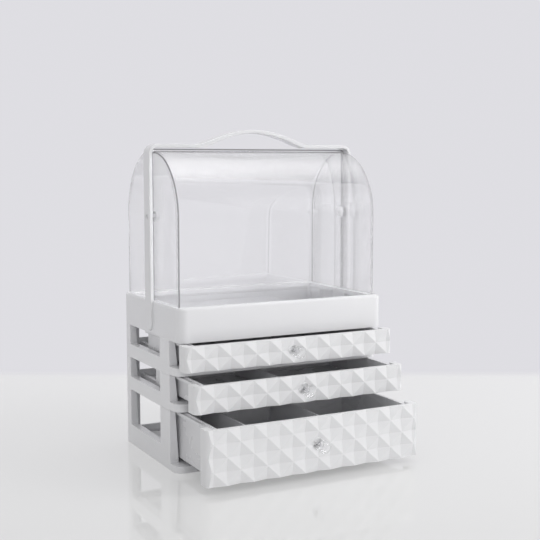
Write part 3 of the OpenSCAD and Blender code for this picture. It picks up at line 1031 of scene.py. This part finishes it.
@dataclass
class Drawer:
    """A drawer: its box, diamond front, dividers, knob and screw."""

    prefix: str
    body: Body
    divider_node: str = ""
    edge: float = 0.0005
    ridge: float = 0.0004
    ridge_angle: float = 12
    ridge_sharp_above: float = 30
    divider_edge: float = 0.0004

    def build(self, dresser: Dresser, knob: Knob) -> None:
        """Builds and dresses the drawer.

        Args:
            dresser: What puts the pieces in place.
            knob: The knob to fit.
        """
        box = merged_copy(f"{self.prefix}_drawer_box", f"{self.prefix}_box_moulding")
        soften(box, self.edge)
        shade(box)
        dresser.dress(box, self.body, Slot.DRAWER, f"{self.prefix}_drawer_box")
        front = merged_copy(f"{self.prefix}_drawer_front", f"{self.prefix}_front_moulding")
        soften(front, self.ridge, angle=self.ridge_angle)
        shade(front, self.ridge_sharp_above)
        dresser.dress(front, self.body, Slot.FRONT, f"{self.prefix}_drawer_front")
        if self.divider_node:
            divider = merged_copy(self.divider_node, f"{self.divider_node}_moulding")
            soften(divider, self.divider_edge)
            shade(divider)
            dresser.dress(divider, self.body, Slot.DIVIDER, self.divider_node)
        screw = merged_copy(f"{self.prefix}_knob_screw", f"{self.prefix}_screw_turned")
        shade(screw)
        dresser.dress(screw, self.body, Slot.SCREW, f"{self.prefix}_knob_screw")
        knob.build(dresser, self.prefix, self.body)


# ---------- stage ----------


@dataclass(frozen=True)
class SoftLight:
    """A rectangular studio lamp that fades towards its edges, aimed at a place.

    A lamp that isn't mirrored gives its light, but glossy surfaces don't show its shape.
    """

    name: str
    place: tuple[float, float, float]
    aim: tuple[float, float, float]
    size: tuple[float, float]
    power: float
    bright_core: float = 0.12
    mirrored: bool = True

    def build(self) -> None:
        """Adds the lamp to the scene."""
        lamp = bpy.data.lights.new(self.name, "AREA")
        lamp.shape = "RECTANGLE"
        lamp.size, lamp.size_y = self.size
        lamp.energy = self.power
        self._fade(lamp)
        holder = bpy.data.objects.new(self.name, lamp)
        holder.location = self.place
        reach = Vector(self.aim) - Vector(self.place)
        holder.rotation_euler = reach.to_track_quat("-Z", "Y").to_euler()
        holder.visible_glossy = self.mirrored
        bpy.context.scene.collection.objects.link(holder)

    def _fade(self, lamp: bpy.types.AreaLight) -> None:
        """Makes the lamp brightest in its middle, as a softbox is.

        Args:
            lamp: The lamp's data.
        """
        lamp.use_nodes = True
        tree = lamp.node_tree
        tree.nodes.clear()
        place = add_node(tree, "NewGeometry")
        reach = add_node(tree, "VectorMath", operation="DISTANCE")
        reach.inputs[1].default_value = (0.5, 0.5, 0.0)
        fade = add_node(
            tree, "MapRange", From_Min=self.bright_core, From_Max=0.5, To_Min=1.0, To_Max=0.0,
            interpolation_type="SMOOTHSTEP",
        )
        glow = add_node(tree, "Emission")
        output = add_node(tree, "OutputLight")
        tree.links.new(place.outputs["Parametric"], reach.inputs[0])
        tree.links.new(reach.outputs["Value"], fade.inputs["Value"])
        tree.links.new(fade.outputs[0], glow.inputs["Strength"])
        tree.links.new(glow.outputs[0], output.inputs["Surface"])


@dataclass
class Studio:
    """Floor, backdrop tone, lamps and camera.

    The floor gives the organizer the light of floor_tone, and is seen as floor_seen_tone with
    floor_glow. Past seam_distance it turns into the backdrop.
    """

    heading: float = math.radians(27.78)
    pitch: float = math.radians(6.05)
    camera_place: tuple[float, float, float] = (-0.5778, -1.1461, 0.3594)
    lens: float = 68.18
    sensor_width: float = 36.0
    floor_half: float = 6.0
    seam_distance: float = 0.425
    seam_softness: float = 0.03
    wall_colour: tuple[float, float, float] = (0.735, 0.73, 0.765)
    floor_tone: float = 0.8
    floor_seen_tone: float = 0.36
    floor_glow: float = 0.32
    floor_roughness: float = 0.02
    floor_ior: float = 1.65
    ambient: float = 0.54

    def build(self) -> None:
        """Builds the whole stage."""
        self._camera()
        self._floor()
        self._world()
        for lamp in (
            SoftLight(
                "key_right", (1.15, -0.9, 0.75), (0.05, 0.0, 0.15), (1.2, 1.2), 31.0, mirrored=False
            ),
            SoftLight("top", (0.2, 0.1, 1.9), (0.0, 0.0, 0.2), (2.8, 2.8), 35.0),
            SoftLight("fill_left", (-1.7, -0.9, 0.8), (0.0, 0.0, 0.2), (1.8, 1.8), 6.0),
            SoftLight(
                "fill_front", (-0.4, -1.9, 0.3), (0.0, 0.0, 0.1), (2.0, 1.0), 10.0, mirrored=False
            ),
        ):
            lamp.build()
        bpy.context.scene.view_settings.view_transform = "Standard"

    def _camera(self) -> None:
        """Places the camera."""
        data = bpy.data.cameras.new("camera")
        data.lens = self.lens
        data.sensor_width = self.sensor_width
        holder = bpy.data.objects.new("camera", data)
        holder.location = self.camera_place
        holder.rotation_euler = (math.pi / 2 - self.pitch, 0, -self.heading)
        bpy.context.scene.collection.objects.link(holder)
        bpy.context.scene.camera = holder

    @staticmethod
    def _background_rays(tree: bpy.types.NodeTree) -> bpy.types.NodeSocket:
        """Adds a test for the rays that show the background.

        Args:
            tree: The node tree to add to.

        Returns:
            The socket that is 1 for what the camera sees, also in gloss and through glass.
        """
        light = add_node(tree, "LightPath")
        seen = add_node(tree, "Math", operation="MAXIMUM")
        clear = add_node(tree, "Math", operation="MAXIMUM")
        tree.links.new(light.outputs["Is Camera Ray"], seen.inputs[0])
        tree.links.new(light.outputs["Is Glossy Ray"], seen.inputs[1])
        tree.links.new(seen.outputs[0], clear.inputs[0])
        tree.links.new(light.outputs["Is Transmission Ray"], clear.inputs[1])
        return clear.outputs[0]

    def _floor(self) -> None:
        """Lays the glossy floor, which turns into the backdrop's tone behind the organizer."""
        shell = bmesh.new()
        bmesh.ops.create_grid(shell, x_segments=1, y_segments=1, size=self.floor_half)
        floor = object_from(shell, "floor")
        material, shader, output = blank_material("floor_gloss")
        tree = material.node_tree
        shader.inputs["Roughness"].default_value = self.floor_roughness
        shader.inputs["IOR"].default_value = self.floor_ior
        shader.inputs["Emission Color"].default_value = (1.0, 1.0, 1.0, 1.0)
        tone = add_node(tree, "Mix", data_type="RGBA")
        tone.inputs["A"].default_value = (self.floor_tone,) * 3 + (1.0,)
        tone.inputs["B"].default_value = (self.floor_seen_tone,) * 3 + (1.0,)
        glow = add_node(tree, "Math", operation="MULTIPLY")
        glow.inputs[1].default_value = self.floor_glow
        seen = self._background_rays(tree)
        place = add_node(tree, "TexCoord")
        turn = add_node(tree, "Mapping", Rotation=(0, 0, self.heading))
        split = add_node(tree, "SeparateXYZ")
        edge = add_node(
            tree, "MapRange", From_Min=self.seam_distance - self.seam_softness,
            From_Max=self.seam_distance + self.seam_softness, interpolation_type="SMOOTHSTEP",
        )
        wall = add_node(tree, "Emission")
        wall.inputs["Color"].default_value = (*self.wall_colour, 1.0)
        mix = add_node(tree, "MixShader")
        link = tree.links.new
        link(seen, tone.inputs["Factor"])
        link(seen, glow.inputs[0])
        link(tone.outputs["Result"], shader.inputs["Base Color"])
        link(glow.outputs[0], shader.inputs["Emission Strength"])
        link(place.outputs["Object"], turn.inputs["Vector"])
        link(turn.outputs[0], split.inputs[0])
        link(split.outputs["Y"], edge.inputs["Value"])
        link(edge.outputs[0], mix.inputs["Fac"])
        link(shader.outputs[0], mix.inputs[1])
        link(wall.outputs[0], mix.inputs[2])
        link(mix.outputs[0], output.inputs["Surface"])
        floor.data.materials.append(material)

    def _world(self) -> None:
        """Sets an even ambient light and the backdrop's own tone."""
        world = bpy.data.worlds.new("studio")
        bpy.context.scene.world = world
        world.use_nodes = True
        tree = world.node_tree
        tree.nodes.clear()
        air = add_node(tree, "Background", Strength=self.ambient)
        air.inputs["Color"].default_value = (1.0, 1.0, 1.0, 1.0)
        wall = add_node(tree, "Background", Strength=1.0)
        wall.inputs["Color"].default_value = (*self.wall_colour, 1.0)
        mix = add_node(tree, "MixShader")
        output = add_node(tree, "OutputWorld")
        link = tree.links.new
        link(self._background_rays(tree), mix.inputs["Fac"])
        link(air.outputs[0], mix.inputs[1])
        link(wall.outputs[0], mix.inputs[2])
        link(mix.outputs[0], output.inputs["Surface"])


def main() -> None:
    """Builds the stage and every sub-assembly in order."""
    logging.basicConfig(level=logging.INFO, format="%(name)s: %(message)s")
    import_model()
    Studio().build()
    dresser = Dresser(Palette())
    Stand().build(dresser)
    Handle().build(dresser)
    Cover("front_cover", Body.FRONT_COVER, opens_back=False).build(dresser)
    Cover("rear_cover", Body.REAR_COVER, opens_back=True).build(dresser)
    knob = Knob()
    for drawer in (
        Drawer("upper", Body.UPPER_DRAWER),
        Drawer("middle", Body.MIDDLE_DRAWER, "middle_drawer_divider"),
        Drawer("lower", Body.LOWER_DRAWER, "lower_drawer_dividers"),
    ):
        drawer.build(dresser, knob)


if __name__ == "__main__":
    main()
